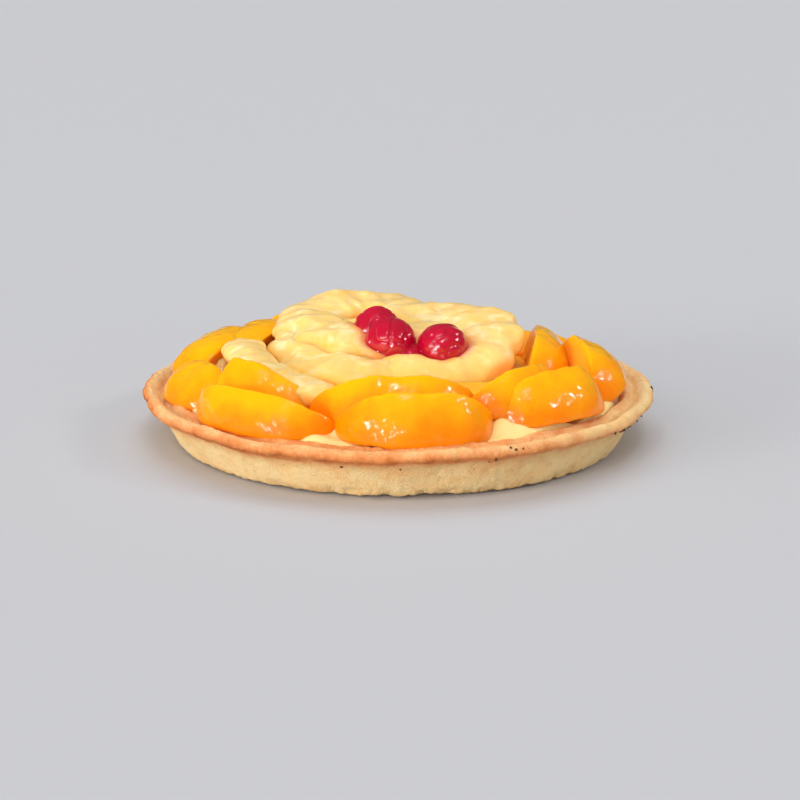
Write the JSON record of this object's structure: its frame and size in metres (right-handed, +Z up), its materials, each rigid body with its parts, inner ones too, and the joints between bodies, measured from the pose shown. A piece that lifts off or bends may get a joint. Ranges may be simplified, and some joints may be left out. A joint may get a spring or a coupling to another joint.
{
  "type": "fruit tart",
  "caption": "Round shortcrust tart filled with custard and topped with peach slices, pineapple rings and cherries under a glaze.",
  "frame": {"origin": "centre of the flat underside of the pastry shell", "axes": "+Z up, out of the table; -Y towards the front of the tart, +X to its right"},
  "size_m": [0.2008, 0.201, 0.0503],
  "materials": {
    "crust": "matte baked pastry",
    "custard": "soft gloss",
    "peach": "wet glaze",
    "pineapple": "wet glaze",
    "cherry": "wet glaze"
  },
  "bodies": {
    "root": {"cherry_back": "cherry", "cherry_front": "cherry", "cherry_low": "cherry", "cherry_right": "cherry", "crust": "crust", "custard": "custard", "peach_back_1": "peach", "peach_back_2": "peach", "peach_back_3": "peach", "peach_back_left": "peach", "peach_front": "peach", "peach_front_left": "peach", "peach_front_right": "peach", "peach_inner_back": "peach", "peach_inner_front": "peach", "peach_inner_left": "peach", "peach_inner_left_back": "peach", "peach_inner_right": "peach", "peach_inner_right_back": "peach", "peach_left": "peach", "peach_right": "peach", "pineapple_back": "pineapple", "pineapple_left": "pineapple", "pineapple_right": "pineapple", "pineapple_strip": "pineapple"}
  },
  "joints": []
}
